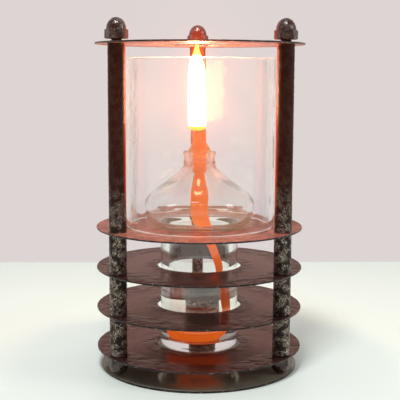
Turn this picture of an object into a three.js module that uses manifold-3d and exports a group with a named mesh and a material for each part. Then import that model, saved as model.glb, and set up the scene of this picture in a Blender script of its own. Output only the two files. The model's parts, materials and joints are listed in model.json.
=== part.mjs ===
// An oil lamp that stands on a table: four round discs and a top plate on three posts, a glass
// chimney between the highest disc and the top plate, and a bottle that hangs through the discs.
// Millimetres, +Z up. The origin is the middle of the base plate's underside, and -Y is the front.
import * as THREE from "three";
import { mergeVertices } from "three/addons/utils/BufferGeometryUtils.js";
import Module from "manifold-3d";

const wasm = await Module();
wasm.setup();

// Bottle: heights are above the top face of the highest disc, where it hangs
const bottleTubeRadius = 28.7;
const bottleTubeWall = 6;
const bulbWall = 3;
const bottleFloor = 5.6;
const bottleFootRound = 3;
const seatDrop = 3;
const seatClearance = 0.3;
const seatSpread = 6.5;
const seatRise = 1.2;
const seatTurnShare = 0.5;
const bulbOverhang = 9.6;
const bulbWidestHeight = 15.8;
const bulbUnderRound = 10;
const bulbOverRound = 11.2;
const neckRadius = 11.4;
const neckBoreRadius = 7.4;
const neckBaseHeight = 45.5;
const shoulderFlare = 2.6;
const shoulderDrop = 9.5;
const neckRingHeight = 1.8;
const neckRingProud = 0.7;
const neckLength = 9.4;
const lipHeight = 2.8;

// Wick holder: a glass tube with a cone-shaped collar on the lip of the bottle
const holderTubeRadius = 4.9;
const holderWall = 1.1;
const holderRise = 14.7;
const holderTail = 17;
const collarOverlap = 0.7;
const collarEdge = 1.3;
const coneHeight = 5.9;
const beadProud = 0.8;
const beadHeight = 1.6;
const beadSpacing = 3.2;
const beadCount = 2;

// Wick: a flat braid, squeezed where it is in the holder
const wickHalfWidth = 6.5;
const wickHalfThickness = 1.5;
const wickClearance = 0.35;
const wickSqueezedShare = 0.9;
const wickProud = 1.6;
const coilTurns = 1.4;
const coilRadius = 15.5;
const coilStep = 5;
const coilOffset = 1.5;
const coilStartAngle = 50;

// Round plates
const sheetThickness = 1.4;
const discHoleClearance = 2.3;
const discMargin = 8.6;
const basePlateThickness = 1.6;
const basePlateInset = 3.2;

// Glass chimney
const chimneyAirGap = 11.4;
const chimneyWall = 3;
const chimneyHeight = 122.5;
const chimneyEdge = 0.7;
const chimneyTopGap = 9.5;

// Posts: sleeves on studs, with a domed nut at both ends of each stud
const sleeveRadius = 6.35;
const shortSleeveLength = 28.4;
const chimneyPostGap = 6.25;
const studRadius = 4;
const studChamfer = 0.8;
const sleeveBoreClearance = 0.5;
const studHoleClearance = 0.3;
const threadClearance = 0.3;
const nutAcrossFlats = 15;
const nutChamfer = 0.7;
const nutDomeInset = 0.4;
const nutCrownWall = 4;
const capHexHeight = 6.6;
const capDomeHeight = 8.2;
const capNutGap = 1.5;
const footHexHeight = 5.8;
const footDomeHeight = 7;

// Counts and angles
const discCount = 4;
const frontPostAngle = 60;
const plateSides = 64;
const holeSides = 40;
const smallSides = 20;
const glassSides = 36;
const wickSides = 8;
const wickRunSteps = 30;
const stepsPerTurn = 24;

// Reach of a cutting shape past the face that it cuts
const cutOverrun = 1;

// Sizes worked out from the ones above
const discHoleRadius = bottleTubeRadius + discHoleClearance;
const bulbRadius = discHoleRadius + bulbOverhang;
const chimneyBoreRadius = bulbRadius + chimneyAirGap;
const chimneyRadius = chimneyBoreRadius + chimneyWall;
const postCircleRadius = chimneyRadius + chimneyPostGap + sleeveRadius;
const discRadius = postCircleRadius + discMargin;
const footNutHeight = footHexHeight + footDomeHeight;
const firstDiscUnderside = basePlateThickness + footNutHeight;
const discPitch = sheetThickness + shortSleeveLength;
const lastDiscTop = firstDiscUnderside + discPitch * (discCount - 1) + sheetThickness;
const longSleeveLength = chimneyHeight + chimneyTopGap;
const topPlateUnderside = lastDiscTop + longSleeveLength;
const topPlateTop = topPlateUnderside + sheetThickness;
const capNutBottom = topPlateTop + capNutGap;
const bottleBottom = firstDiscUnderside - lastDiscTop;
const lipTop = neckBaseHeight + neckLength;
const holderBoreRadius = holderTubeRadius - holderWall;
const holderTop = lipTop + holderRise;
const holderBottom = lipTop - holderTail;

const degrees = THREE.MathUtils.degToRad;
const posts = [
  { side: "left", angle: degrees(-90 - frontPostAngle) },
  { side: "right", angle: degrees(-90 + frontPostAngle) },
  { side: "back", angle: degrees(90) },
];

// Finishes
function finish(color, roughness, metalness) {
  return new THREE.MeshStandardMaterial({ color, roughness, metalness });
}
function clearGlass(color, opacity) {
  return new THREE.MeshStandardMaterial({ color, roughness: 0.05, transparent: true, opacity });
}

function addPiece(parent, name, geometry, material, x, y, z) {
  const mesh = new THREE.Mesh(geometry, material);
  mesh.name = name;
  mesh.position.set(x, y, z);
  parent.add(mesh);
}

// A profile of radius and height, turned about the upright axis
function turned(profile, sides) {
  const geometry = new THREE.LatheGeometry(profile, sides);
  geometry.rotateX(Math.PI / 2);
  return geometry;
}

function point(radius, height) {
  return new THREE.Vector2(radius, height);
}

// Points of a cubic curve after its first one
function curved(from, firstHandle, secondHandle, to, steps) {
  return new THREE.CubicBezierCurve(from, firstHandle, secondHandle, to).getPoints(steps).slice(1);
}

// Points of a quarter round after its first one, with the sharp corner as its handle
function rounded(from, corner, to, steps) {
  return new THREE.QuadraticBezierCurve(from, corner, to).getPoints(steps).slice(1);
}

function circlePoints(radius, sides, centreX = 0, centreY = 0) {
  return Array.from({ length: sides }, (_, i) => {
    const angle = (2 * Math.PI * i) / sides;
    return new THREE.Vector2(centreX + radius * Math.cos(angle), centreY + radius * Math.sin(angle));
  });
}

// A round plate with the bottle's hole in the middle and a hole for each stud
function holedPlate() {
  const shape = new THREE.Shape(circlePoints(discRadius, plateSides));
  shape.holes.push(new THREE.Path(circlePoints(discHoleRadius, holeSides)));
  for (const { angle } of posts) {
    const x = postCircleRadius * Math.cos(angle);
    const y = postCircleRadius * Math.sin(angle);
    shape.holes.push(new THREE.Path(circlePoints(studRadius + studHoleClearance, smallSides, x, y)));
  }
  return new THREE.ExtrudeGeometry(shape, { depth: sheetThickness, bevelEnabled: false });
}

function solidPlate() {
  const radius = discRadius - basePlateInset;
  const profile = [
    point(0, 0),
    point(radius, 0),
    point(radius, basePlateThickness),
    point(0, basePlateThickness),
  ];
  return turned(profile, plateSides);
}

function sleeve(length) {
  const bore = studRadius + sleeveBoreClearance;
  const profile = [
    point(bore, 0),
    point(sleeveRadius, 0),
    point(sleeveRadius, length),
    point(bore, length),
    point(bore, 0),
  ];
  return turned(profile, smallSides);
}

// A mesh as a solid that can be joined and cut
function solidOf(geometry) {
  const bare = geometry.clone();
  bare.deleteAttribute("normal");
  bare.deleteAttribute("uv");
  const merged = mergeVertices(bare);
  return new wasm.Manifold(
    new wasm.Mesh({
      numProp: 3,
      vertProperties: merged.attributes.position.array,
      triVerts: new Uint32Array(merged.index.array),
    }),
  );
}

function geometryOf(solid) {
  const mesh = solid.getMesh();
  const geometry = new THREE.BufferGeometry();
  geometry.setAttribute("position", new THREE.BufferAttribute(mesh.vertProperties, mesh.numProp));
  geometry.setIndex(new THREE.BufferAttribute(mesh.triVerts, 1));
  return geometry;
}

function nutBoreDepth(hexHeight, domeHeight) {
  return hexHeight + domeHeight - nutCrownWall;
}

// An acorn nut, flat face down: a hexagon with chamfered corners, a round dome and a blind bore
function domedNut(hexHeight, domeHeight) {
  const flatRadius = nutAcrossFlats / 2;
  const cornerRadius = flatRadius / Math.cos(Math.PI / 6);
  const domeRadius = flatRadius - nutDomeInset;
  const hexagon = new THREE.Shape(circlePoints(cornerRadius, 6));
  const prism = new THREE.ExtrudeGeometry(hexagon, { depth: hexHeight, bevelEnabled: false });
  const chamfered = turned(
    [
      point(0, 0),
      point(flatRadius, 0),
      point(cornerRadius, nutChamfer),
      point(cornerRadius, hexHeight - nutChamfer),
      point(flatRadius, hexHeight),
      point(0, hexHeight),
    ],
    smallSides,
  );
  const dome = [point(0, nutChamfer), point(domeRadius, nutChamfer)];
  const domeSteps = 6;
  for (let i = 0; i < domeSteps; i += 1) {
    const angle = (Math.PI / 2) * (i / domeSteps);
    dome.push(point(domeRadius * Math.cos(angle), hexHeight + domeHeight * Math.sin(angle)));
  }
  dome.push(point(0, hexHeight + domeHeight));
  const boreRadius = studRadius + threadClearance;
  const bore = [
    point(0, -cutOverrun),
    point(boreRadius, -cutOverrun),
    point(boreRadius, nutBoreDepth(hexHeight, domeHeight)),
    point(0, nutBoreDepth(hexHeight, domeHeight)),
  ];
  const nut = solidOf(prism)
    .intersect(solidOf(chamfered))
    .add(solidOf(turned(dome, smallSides)))
    .subtract(solidOf(turned(bore, smallSides)));
  return geometryOf(nut);
}

function stud(length) {
  const profile = [
    point(0, 0),
    point(studRadius - studChamfer, 0),
    point(studRadius, studChamfer),
    point(studRadius, length - studChamfer),
    point(studRadius - studChamfer, length),
    point(0, length),
  ];
  return turned(profile, smallSides);
}

// A straight glass cylinder with its rims ground off at the edges
function chimney() {
  const profile = [
    point(chimneyBoreRadius, chimneyEdge),
    point(chimneyBoreRadius + chimneyEdge, 0),
    point(chimneyRadius - chimneyEdge, 0),
    point(chimneyRadius, chimneyEdge),
    point(chimneyRadius, chimneyHeight - chimneyEdge),
    point(chimneyRadius - chimneyEdge, chimneyHeight),
    point(chimneyBoreRadius + chimneyEdge, chimneyHeight),
    point(chimneyBoreRadius, chimneyHeight - chimneyEdge),
    point(chimneyBoreRadius, chimneyEdge),
  ];
  return turned(profile, plateSides);
}

// One skin of the bottle from its tube to its neck: outside with no insets, and inside with the walls
function bottleSkin(tubeInset, bulbInset, endRadius, endHeight) {
  const slope = point(seatSpread, seatRise).normalize();
  const seatRadius = discHoleRadius - seatClearance;
  const seat = point(seatRadius - slope.y * bulbInset, slope.x * bulbInset);
  const tube = point(bottleTubeRadius - tubeInset, -seatDrop);
  const widest = point(bulbRadius - bulbInset, bulbWidestHeight);
  const neck = point(endRadius, endHeight);
  const seatTurn = seat.clone().sub(tube).multiplyScalar(seatTurnShare);
  const spreadShare = (widest.x - seat.x) / (bulbRadius - seatRadius);
  const roundShare = (widest.y - seat.y) / bulbWidestHeight;
  return [
    tube,
    ...curved(
      tube,
      point(tube.x, tube.y + seatTurn.y),
      seat.clone().addScaledVector(slope, -seatTurn.x),
      seat,
      3,
    ),
    ...curved(
      seat,
      point(seat.x + seatSpread * spreadShare, seat.y + seatRise * spreadShare),
      point(widest.x, widest.y - bulbUnderRound * roundShare),
      widest,
      5,
    ),
    ...curved(
      widest,
      point(widest.x, widest.y + bulbOverRound),
      point(neck.x + shoulderFlare, neck.y - shoulderDrop),
      neck,
      8,
    ),
  ];
}

function bottle() {
  const lipRadius = neckRadius + neckRingProud;
  const lipEdge = neckRingProud;
  const floorTop = bottleBottom + bottleFloor;
  const boreRadius = bottleTubeRadius - bottleTubeWall;
  const footInner = point(bottleTubeRadius - bottleFootRound, bottleBottom);
  const footOuter = point(bottleTubeRadius, bottleBottom + bottleFootRound);
  const footCorner = point(bottleTubeRadius, bottleBottom);
  const floorOuter = point(boreRadius, floorTop + bottleFootRound);
  const floorInner = point(boreRadius - bottleFootRound, floorTop);
  const floorCorner = point(boreRadius, floorTop);
  const inside = bottleSkin(bottleTubeWall, bulbWall, neckBoreRadius, neckBaseHeight - bulbWall).reverse();
  const profile = [
    point(0, bottleBottom),
    footInner,
    ...rounded(footInner, footCorner, footOuter, 3),
    ...bottleSkin(0, 0, neckRadius, neckBaseHeight),
    point(lipRadius, neckBaseHeight + neckRingHeight / 2),
    point(neckRadius, neckBaseHeight + neckRingHeight),
    point(neckRadius, lipTop - lipHeight - lipEdge),
    point(lipRadius, lipTop - lipHeight),
    point(lipRadius, lipTop - lipEdge),
    point(lipRadius - lipEdge, lipTop),
    point(neckBoreRadius + lipEdge, lipTop),
    point(neckBoreRadius, lipTop - lipEdge),
    ...inside,
    floorOuter,
    ...rounded(floorOuter, floorCorner, floorInner, 3),
    point(0, floorTop),
  ];
  return turned(profile, glassSides);
}

function wickHolder() {
  const collarRadius = neckBoreRadius + collarOverlap;
  const profile = [
    point(holderBoreRadius, holderBottom),
    point(holderTubeRadius, holderBottom),
  ];
  for (let i = beadCount; i > 0; i -= 1) {
    const middle = lipTop - i * beadSpacing;
    profile.push(
      point(holderTubeRadius, middle - beadHeight / 2),
      point(holderTubeRadius + beadProud, middle),
      point(holderTubeRadius, middle + beadHeight / 2),
    );
  }
  const coneBase = point(collarRadius, lipTop + collarEdge);
  const coneTop = point(holderTubeRadius, lipTop + collarEdge + coneHeight);
  profile.push(
    point(holderTubeRadius, lipTop),
    point(collarRadius, lipTop),
    coneBase,
    ...curved(
      coneBase,
      point(collarRadius - collarEdge, coneBase.y + coneHeight / 2),
      point(holderTubeRadius, coneTop.y - coneHeight / 3),
      coneTop,
      3,
    ),
    point(holderTubeRadius, holderTop),
    point(holderBoreRadius, holderTop),
    point(holderBoreRadius, holderBottom),
  );
  return turned(profile, smallSides);
}

// The wick's free run from the holder to its coil: how far right it lies, as a share of the
// bottle's inner radius, how far down, as a share of the run, and how far its flat side has turned
const wickRunShares = [
  { right: 0, down: 0.05, turn: 0 },
  { right: 0.055, down: 0.3, turn: 0.12 },
  { right: 0.4, down: 0.48, turn: 0.72 },
  { right: 0.68, down: 0.68, turn: 0.7 },
  { right: 0.58, down: 0.84, turn: 0.92 },
];

// Stations of the wick, from its lit end to the end of its coil: place, half sizes and flat direction
function wickStations() {
  const squeezedWidth = holderBoreRadius - wickClearance;
  const squeezedThickness = squeezedWidth * wickSqueezedShare;
  const boreRadius = bottleTubeRadius - bottleTubeWall;
  const runTop = holderBottom - wickHalfWidth;
  const coilHeight = bottleBottom + bottleFloor + wickClearance * 2 + wickHalfWidth;
  const coilStart = degrees(coilStartAngle);
  const bendRadius = coilRadius * coilStart;
  const bendStart = coilHeight + bendRadius;
  const path = [
    new THREE.Vector3(0, 0, holderTop + wickProud),
    new THREE.Vector3(0, 0, lipTop),
    new THREE.Vector3(0, 0, holderBottom),
  ];
  const turns = [0, 0, 0];
  for (const { right, down, turn } of wickRunShares) {
    path.push(new THREE.Vector3(right * boreRadius, 0, runTop - down * (runTop - bendStart)));
    turns.push(turn);
  }
  // It bends on its edge round the side of the coil, and then winds inwards
  const besideCoil = (angle, radius, height) =>
    new THREE.Vector3(radius * Math.cos(angle) - coilOffset, radius * Math.sin(angle), height);
  const coilPoint = (turnShare) =>
    besideCoil(-coilStart - turnShare * 2 * Math.PI, coilRadius - turnShare * coilStep, coilHeight);
  const halfBend = bendRadius * Math.SQRT1_2;
  path.push(
    besideCoil(0, coilRadius, bendStart),
    besideCoil(coilStart * (Math.SQRT1_2 - 1), coilRadius, bendStart - halfBend),
    coilPoint(0),
    coilPoint(1 / stepsPerTurn),
  );
  turns.push(1, 1, 1, 1);

  const last = path.length - 1;
  const run = new THREE.CatmullRomCurve3(path);
  const stations = [];
  for (let i = 0; i < wickRunSteps; i += 1) {
    const along = (i / wickRunSteps) * (last - 1);
    const from = Math.floor(along);
    const turn = THREE.MathUtils.lerp(turns[from], turns[from + 1], along - from);
    const centre = run.getPoint(along / last);
    const freed = THREE.MathUtils.smoothstep(holderBottom - centre.z, 0, wickHalfWidth * 2);
    const lying = THREE.MathUtils.smoothstep(bendStart - centre.z, 0, bendStart - coilHeight);
    const angle = (turn * Math.PI) / 2;
    stations.push({
      centre,
      halfWidth: THREE.MathUtils.lerp(squeezedWidth, wickHalfWidth, freed),
      halfThickness: THREE.MathUtils.lerp(squeezedThickness, wickHalfThickness, freed),
      flat: new THREE.Vector3(Math.cos(angle), Math.sin(angle) * (1 - lying), -lying),
    });
  }
  for (let i = 0; i <= coilTurns * stepsPerTurn; i += 1) {
    stations.push({
      centre: coilPoint(i / stepsPerTurn),
      halfWidth: wickHalfWidth,
      halfThickness: wickHalfThickness,
      flat: new THREE.Vector3(0, 0, -1),
    });
  }
  return stations;
}

// A ring of points round each station: an ellipse square to the wick, wide along its flat direction
function wickRings(stations) {
  return stations.map(({ centre, halfWidth, halfThickness, flat }, i) => {
    const before = stations[Math.max(i - 1, 0)].centre;
    const after = stations[Math.min(i + 1, stations.length - 1)].centre;
    const along = after.clone().sub(before).normalize();
    const wide = flat.clone().addScaledVector(along, -flat.dot(along)).normalize();
    const thick = along.clone().cross(wide);
    return circlePoints(1, wickSides).map((unit) =>
      centre
        .clone()
        .addScaledVector(wide, unit.x * halfWidth)
        .addScaledVector(thick, unit.y * halfThickness),
    );
  });
}

// The least distance between points of the wick that are more than half a turn apart along it
function leastGap(rings) {
  let least = Infinity;
  rings.forEach((ring, i) => {
    rings.slice(i + stepsPerTurn / 2).forEach((other) => {
      for (const a of ring) {
        for (const b of other) {
          least = Math.min(least, a.distanceTo(b));
        }
      }
    });
  });
  return least;
}

function wick() {
  const rings = wickRings(wickStations());
  console.log(`wick: least gap to itself ${leastGap(rings).toFixed(2)} mm`);
  const positions = rings.flat().flatMap((p) => [p.x, p.y, p.z]);
  const triangles = [];
  for (let i = 0; i < rings.length - 1; i += 1) {
    for (let j = 0; j < wickSides; j += 1) {
      const a = i * wickSides + j;
      const b = i * wickSides + ((j + 1) % wickSides);
      triangles.push(a, b, b + wickSides, a, b + wickSides, a + wickSides);
    }
  }
  const lastRing = (rings.length - 1) * wickSides;
  for (let j = 1; j < wickSides - 1; j += 1) {
    triangles.push(0, j + 1, j);
    triangles.push(lastRing, lastRing + j, lastRing + j + 1);
  }
  const geometry = new THREE.BufferGeometry();
  geometry.setAttribute("position", new THREE.Float32BufferAttribute(positions, 3));
  geometry.setIndex(triangles);
  return geometry;
}

// The lamp
const discFinish = finish(0x4a302a, 0.2, 0.8);
const baseFinish = finish(0x33302a, 0.15, 0.8);
const postFinish = finish(0x1d1512, 0.35, 0.7);
const nutFinish = finish(0x241a16, 0.3, 0.8);
const studFinish = finish(0x5a5450, 0.4, 0.9);
const chimneyGlass = clearGlass(0xf2ece8, 0.25);
const bottleGlass = clearGlass(0xe6ece8, 0.35);
const wickFinish = finish(0xd86a2a, 0.9, 0);

const lamp = new THREE.Group();
const stand = new THREE.Group();
lamp.add(stand);
addPiece(stand, "base_plate", solidPlate(), baseFinish, 0, 0, 0);
for (let i = 0; i < discCount; i += 1) {
  addPiece(stand, `disc_${i + 1}`, holedPlate(), discFinish, 0, 0, firstDiscUnderside + i * discPitch);
}
addPiece(lamp, "top_plate", holedPlate(), discFinish, 0, 0, topPlateUnderside);

const studBottom = firstDiscUnderside - nutBoreDepth(footHexHeight, footDomeHeight) + threadClearance;
const studTop = capNutBottom + nutBoreDepth(capHexHeight, capDomeHeight) - threadClearance;
for (const { side, angle } of posts) {
  const x = postCircleRadius * Math.cos(angle);
  const y = postCircleRadius * Math.sin(angle);
  const footNut = domedNut(footHexHeight, footDomeHeight);
  footNut.rotateX(Math.PI);
  addPiece(stand, `foot_nut_${side}`, footNut, nutFinish, x, y, firstDiscUnderside);
  addPiece(stand, `stud_${side}`, stud(studTop - studBottom), studFinish, x, y, studBottom);
  for (let i = 1; i < discCount; i += 1) {
    const z = firstDiscUnderside + i * discPitch - shortSleeveLength;
    addPiece(stand, `spacer_${side}_${i}`, sleeve(shortSleeveLength), postFinish, x, y, z);
  }
  addPiece(stand, `long_spacer_${side}`, sleeve(longSleeveLength), postFinish, x, y, lastDiscTop);
  addPiece(lamp, `cap_nut_${side}`, domedNut(capHexHeight, capDomeHeight), nutFinish, x, y, capNutBottom);
}

addPiece(lamp, "glass_chimney", chimney(), chimneyGlass, 0, 0, lastDiscTop);

const burner = new THREE.Group();
burner.position.z = lastDiscTop;
lamp.add(burner);
addPiece(burner, "oil_bottle", bottle(), bottleGlass, 0, 0, 0);
addPiece(burner, "wick_holder", wickHolder(), bottleGlass, 0, 0, 0);
addPiece(burner, "wick", wick(), wickFinish, 0, 0, 0);

export default lamp;
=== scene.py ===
import json
import bpy
import numpy as np
from mathutils import Matrix, Vector

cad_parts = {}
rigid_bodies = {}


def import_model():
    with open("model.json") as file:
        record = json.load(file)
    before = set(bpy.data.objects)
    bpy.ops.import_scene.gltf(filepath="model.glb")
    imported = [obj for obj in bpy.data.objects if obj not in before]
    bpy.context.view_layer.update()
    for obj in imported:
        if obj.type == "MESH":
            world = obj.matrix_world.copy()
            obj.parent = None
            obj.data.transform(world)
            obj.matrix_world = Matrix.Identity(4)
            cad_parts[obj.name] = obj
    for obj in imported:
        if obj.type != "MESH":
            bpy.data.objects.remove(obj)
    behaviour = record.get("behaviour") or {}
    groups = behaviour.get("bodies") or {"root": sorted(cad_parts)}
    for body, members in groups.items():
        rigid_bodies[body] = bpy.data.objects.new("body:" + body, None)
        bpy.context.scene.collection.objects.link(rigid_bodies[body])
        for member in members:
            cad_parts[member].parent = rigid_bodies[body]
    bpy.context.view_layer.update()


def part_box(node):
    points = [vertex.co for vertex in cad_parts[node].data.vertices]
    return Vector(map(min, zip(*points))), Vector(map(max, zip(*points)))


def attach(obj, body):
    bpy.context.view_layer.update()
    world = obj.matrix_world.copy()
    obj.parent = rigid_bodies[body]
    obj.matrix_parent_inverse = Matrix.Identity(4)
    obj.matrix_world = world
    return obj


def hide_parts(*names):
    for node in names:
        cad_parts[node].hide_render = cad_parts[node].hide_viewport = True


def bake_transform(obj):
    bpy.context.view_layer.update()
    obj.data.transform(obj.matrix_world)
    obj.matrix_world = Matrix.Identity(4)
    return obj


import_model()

# An oil lamp: bronze-brown discs on three hammered posts, a glass chimney, and a bottle with an orange wick.
# Sizes are in millimetres, in the frame's own axes, and become metres when a mesh is made.
scene = bpy.context.scene
millimetre = 0.001


def nodeBox(name):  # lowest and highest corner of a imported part, in millimetres
    low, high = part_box(name)
    return np.array(low) / millimetre, np.array(high) / millimetre


def newMesh(name, points, faces):  # from points in millimetres
    mesh = bpy.data.meshes.new(name)
    mesh.from_pydata((points * millimetre).tolist(), [], faces)
    return mesh


def newObject(name, data):
    thing = bpy.data.objects.new(name, data)
    scene.collection.objects.link(thing)
    return thing


cameraValues = {
    "lens": 84.01, "place": (0.46, -686.6, 215.7), "roundDegrees": -1.6, "downDegrees": 7.64,
    "rollDegrees": 0.25,
}

cameraData = bpy.data.cameras.new("photoCamera")
cameraData.lens = cameraValues["lens"]
cameraData.sensor_width = 36
camera = newObject("photoCamera", cameraData)
camera.matrix_world = (
    Matrix.Rotation(np.radians(cameraValues["roundDegrees"]), 4, "Z")
    @ Matrix.Translation([value * millimetre for value in cameraValues["place"]])
    @ Matrix.Rotation(np.radians(90 - cameraValues["downDegrees"]), 4, "X")
    @ Matrix.Rotation(np.radians(cameraValues["rollDegrees"]), 4, "Z")
)
scene.camera = camera
print("camera placed")


def cornerValue(cells, seed):  # the fraction of a large sine of the corner's numbers: fixed, from 0 to 1
    mixed = np.sin(cells @ np.array([127.1, 311.7, 74.7]) + seed * 19.19) * 43758.5453
    return mixed - np.floor(mixed)


def softNoise(points, size, seed):
    # eight corner values blended by 3t^2 - 2t^3 of how far the point lies between them, from -1 to 1
    scaled = points / size
    base = np.floor(scaled)
    share = scaled - base
    share = share * share * (3 - 2 * share)
    total = np.zeros(points.shape[:-1])
    for corner in np.ndindex(2, 2, 2):
        step = np.array(corner)
        weight = np.prod(np.where(step == 1, share, 1 - share), axis=-1)
        total += weight * cornerValue(base + step, seed)
    return total * 2 - 1


def cellEdges(points, size, seed):
    # a feature point in each cell of a lattice; gives second nearest less nearest distance, 0 on a border
    scaled = points / size
    base = np.floor(scaled)
    nearest = np.full(points.shape[:-1], 9.0)
    second = nearest.copy()
    for corner in np.ndindex(3, 3, 3):
        cell = base + np.array(corner) - 1
        feature = cell + np.stack([cornerValue(cell, seed + k) for k in (0, 7, 13)], axis=-1)
        distance = np.linalg.norm(scaled - feature, axis=-1)
        second = np.minimum(second, np.maximum(nearest, distance))
        nearest = np.minimum(nearest, distance)
    return second - nearest


def unit(vectors):
    return vectors / np.maximum(np.linalg.norm(vectors, axis=-1, keepdims=True), 1e-9)


def easeStep(value, low, high):  # 3t^2 - 2t^3 between low and high
    t = np.clip((value - low) / (high - low), 0, 1)
    return t * t * (3 - 2 * t)


def cubicCurve(start, firstHandle, secondHandle, end, steps):
    # Bezier: (1-t)^3 start + 3t(1-t)^2 handle + 3t^2(1-t) handle + t^3 end, without its first point
    t = np.linspace(0, 1, steps + 1)[1:, None]
    start, firstHandle, secondHandle, end = map(np.asarray, (start, firstHandle, secondHandle, end))
    s = 1 - t
    return s**3 * start + 3 * t * s**2 * firstHandle + 3 * t**2 * s * secondHandle + t**3 * end


meshValues = {"supportedRun": 1.2, "supportGap": 0.25, "creaseDegrees": 38}


def softOutline(corners, closed=False, steps=4):
    # rows of radius, height, rounding and longest step on the run after it. A corner becomes the curve
    # (1-t)^2 start + 2t(1-t) corner + t^2 end between points at the rounding's distance
    corners = np.asarray(corners, float)
    places = corners[:, :2]
    before, after = (unit(np.roll(places, way, axis=0) - places) for way in (1, -1))
    starts = places + before * corners[:, 2:3]
    ends = places + after * corners[:, 2:3]
    last = len(corners) - 1
    parts = []
    for i in range(last + 1):
        if corners[i, 2] > 0:
            t = np.linspace(0, 1, steps + 1)[:, None]
            parts.append((1 - t) ** 2 * starts[i] + 2 * t * (1 - t) * places[i] + t**2 * ends[i])
        else:
            parts.append(places[i : i + 1])
        if closed or i < last:
            goal = starts[(i + 1) % (last + 1)]
            run = np.linalg.norm(goal - ends[i])
            t = np.linspace(0, 1, max(1, int(np.ceil(run / corners[i, 3]))) + 1)[1:-1]
            if run > meshValues["supportedRun"]:  # a ring near each end keeps the shading straight
                near = meshValues["supportGap"] / run
                t = np.unique(np.concatenate([[near], t, [1 - near]]))
            parts.append(ends[i] + (goal - ends[i]) * t[:, None])
    return np.concatenate(parts)


def tubeOutline(inner, outer, low, high, rounding, steps):
    # the section of a standing tube, with a rounding and a longest step for each of its four corners
    corners = ((inner, low), (outer, low), (outer, high), (inner, high))
    return softOutline(np.c_[corners, rounding, steps], closed=True)


def turnAngles(sides):  # evenly spaced round one turn
    return np.arange(sides) * 2 * np.pi / sides


def turned(radius, height, angle):  # x = radius cos(angle), y = radius sin(angle), z = height
    return np.stack([radius * np.cos(angle), radius * np.sin(angle), height + 0 * angle], axis=-1)


def revolved(outline, sides, centre=(0, 0, 0)):  # every outline point turned about the upright axis
    return turned(outline[:, :1], outline[:, 1:], turnAngles(sides)) + np.array(centre)


def rimRuns(rows):  # 1 on each run between two rows that are both on the rim
    return (rows & np.roll(rows, -1)).astype(int)


def outwardOf(rings, loop):
    # the cross product of the step round a ring and the step from ring to ring, one unit long
    around = np.roll(rings, -1, axis=1) - np.roll(rings, 1, axis=1)
    along = np.roll(rings, -1, axis=0) - np.roll(rings, 1, axis=0) if loop else np.gradient(rings, axis=0)
    return unit(np.cross(around, along))


def makePiece(
    name, rings, loop, finishes, body, replaced=(), rowFinish=None, rowLength=None, wear=None
):
    # a closed skin over rings of points: with loop the last ring joins the first, else both end in a pole
    count, sides = rings.shape[:2]
    column = np.arange(sides)
    following = (column + 1) % sides
    pole = 0 if loop else 1
    low = np.arange(count - 3 * pole)[:, None] * sides + pole
    high = (low + sides) % (count * sides)
    quads = np.stack([low + column, low + following, high + following, high + column], axis=2).reshape(-1, 4)
    quadRows = np.repeat(np.arange(len(low)), sides) + pole
    points, faces, rows = rings.reshape(-1, 3), quads.tolist(), quadRows
    if not loop:
        points = np.concatenate([rings[0, :1], points[sides:-sides], rings[-1, :1]])
        end = len(points) - 1
        faces += np.stack([np.zeros(sides, int), 1 + following, 1 + column], axis=1).tolist()
        faces += (end - sides + np.stack([np.full(sides, sides), column, following], axis=1)).tolist()
        rows = np.concatenate([quadRows, np.zeros(sides, int), np.full(sides, count - 2)])
    mesh = newMesh(name, points, faces)
    if wear is not None:  # how far each point was pushed in, as a share of the depth
        values = wear.ravel() if loop else np.concatenate([[0], wear[1:-1].ravel(), [0]])
        mesh.attributes.new("wear", "FLOAT", "POINT").data.foreach_set("value", values.astype(np.float32))
    if rowLength is not None:  # a map: u is the way along in millimetres, v once round
        u = np.stack([rowLength[quadRows]] * 2 + [rowLength[(quadRows + 1) % count]] * 2, axis=1)
        v = np.tile(np.stack([column, column + 1, column + 1, column], axis=1), (len(low), 1)) / sides
        lengths, turns = [u.ravel()], [v.ravel()]
        if not loop:
            for row in (0, count - 1):
                lengths.append(np.full(sides * 3, rowLength[row]))
                turns.append(np.repeat(column / sides, 3))
        layer = mesh.uv_layers.new(name="along")
        places = np.stack([np.concatenate(lengths), np.concatenate(turns)], axis=1)
        layer.data.foreach_set("uv", places.ravel())
    faceFinish = None if rowFinish is None else rowFinish[rows]
    return finishPiece(name, mesh, finishes, body, replaced, faceFinish)


def finishPiece(name, mesh, finishes, body, replaced=(), faceFinish=None):
    for finish in finishes:
        mesh.materials.append(finish)
    if faceFinish is not None:
        mesh.polygons.foreach_set("material_index", faceFinish.astype(np.int32))
    mesh.polygons.foreach_set("use_smooth", np.ones(len(mesh.polygons), bool))
    mesh.set_sharp_from_angle(angle=np.radians(meshValues["creaseDegrees"]))
    mesh.update()
    piece = newObject(name, mesh)
    if body is not None:
        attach(piece, body)
    if replaced:
        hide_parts(*replaced)
    return piece


class Signal:  # wraps an output socket, so that arithmetic on it adds Math nodes
    def __init__(self, paint, socket):
        self.paint, self.socket = paint, socket

    def joined(self, operation, first, second):
        return self.paint.add("Math", {"operation": operation}, {0: first, 1: second})

    def __add__(self, other):
        return self.joined("ADD", self, other)

    def __radd__(self, other):
        return self.joined("ADD", other, self)

    def __sub__(self, other):
        return self.joined("SUBTRACT", self, other)

    def __rsub__(self, other):
        return self.joined("SUBTRACT", other, self)

    def __mul__(self, other):
        return self.joined("MULTIPLY", self, other)

    def __rmul__(self, other):
        return self.joined("MULTIPLY", other, self)

    def __truediv__(self, other):
        return self.joined("DIVIDE", self, other)

    def __pow__(self, other):
        return self.joined("POWER", self, other)


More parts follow.
